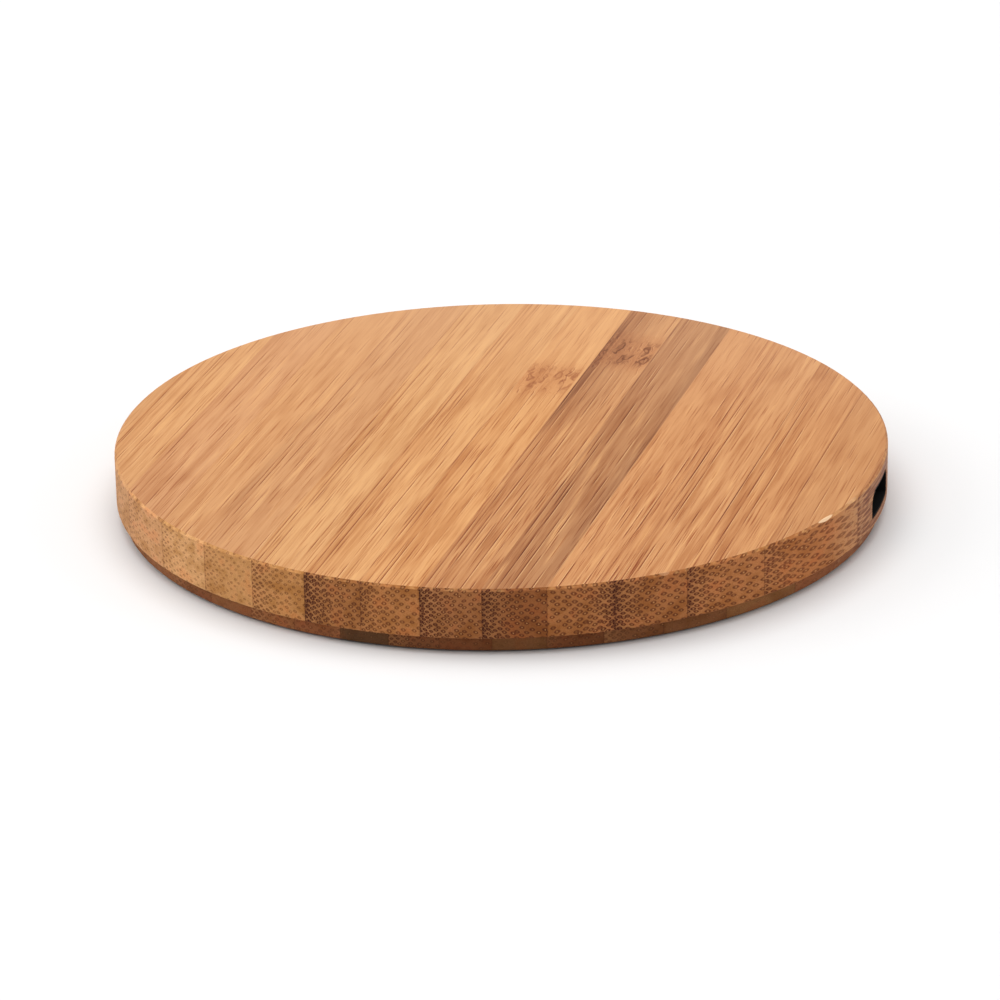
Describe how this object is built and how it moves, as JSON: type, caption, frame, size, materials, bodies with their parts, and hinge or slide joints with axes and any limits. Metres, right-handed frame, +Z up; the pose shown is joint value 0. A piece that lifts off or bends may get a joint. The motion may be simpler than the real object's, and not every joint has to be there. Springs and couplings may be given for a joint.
{
  "type": "wireless charging pad",
  "caption": "Round wireless charging pad: a pocketed bamboo body over an inset bamboo base plate, with a coil and charger board inside and a power socket in the side.",
  "frame": {"origin": "centre of the footprint, at the bottom of the anti-slip ring", "axes": "+Z up through the charging face, +X out through the power socket, +Y nearly along the bamboo strips"},
  "size_m": [0.092, 0.092, 0.008],
  "materials": {
    "bamboo": "sanded carbonised bamboo, strips glued edge to edge, thin satin oil",
    "dark_bamboo": "darker carbonised bamboo, sanded, unpolished edge",
    "silicone": "matt black silicone",
    "zinc_steel": "zinc-plated steel",
    "black_plastic": "matt black moulded plastic",
    "shell_metal": "black nickel-plated steel sheet",
    "insulator_plastic": "black glass-filled nylon",
    "gold_plating": "gold-plated copper alloy",
    "board_laminate": "green solder mask over glass-fibre laminate",
    "chip_resin": "moulded black epoxy",
    "can_metal": "nickel-plated can",
    "ferrite_block": "dark grey ferrite",
    "capacitor_ceramic": "tan ceramic with tinned ends",
    "resistor_ceramic": "black-coated ceramic with tinned ends",
    "litz_copper": "enamelled copper strands",
    "ferrite_sheet": "sintered ferrite sheet",
    "adhesive_film": "double-sided adhesive film",
    "grey_foam": "closed-cell foam"
  },
  "bodies": {
    "root": {"top_body": "bamboo", "base_plate": "dark_bamboo", "foot_ring": "silicone", "case_screws": "zinc_steel", "port_liner": "black_plastic", "usb_shell": "shell_metal", "usb_insulator": "insulator_plastic", "usb_contacts": "gold_plating", "circuit_board": "board_laminate", "board_screws": "zinc_steel", "controller_chip": "chip_resin", "driver_chips": "chip_resin", "regulator_chip": "chip_resin", "crystal": "can_metal", "power_inductor": "ferrite_block", "resonant_capacitors": "capacitor_ceramic", "input_capacitors": "capacitor_ceramic", "chip_capacitors": "capacitor_ceramic", "chip_resistors": "resistor_ceramic", "sense_resistor": "resistor_ceramic", "coil_winding": "litz_copper", "inner_lead": "litz_copper", "outer_lead": "litz_copper", "ferrite_shield": "ferrite_sheet", "coil_adhesive": "adhesive_film", "foam_support": "grey_foam"}
  },
  "joints": []
}
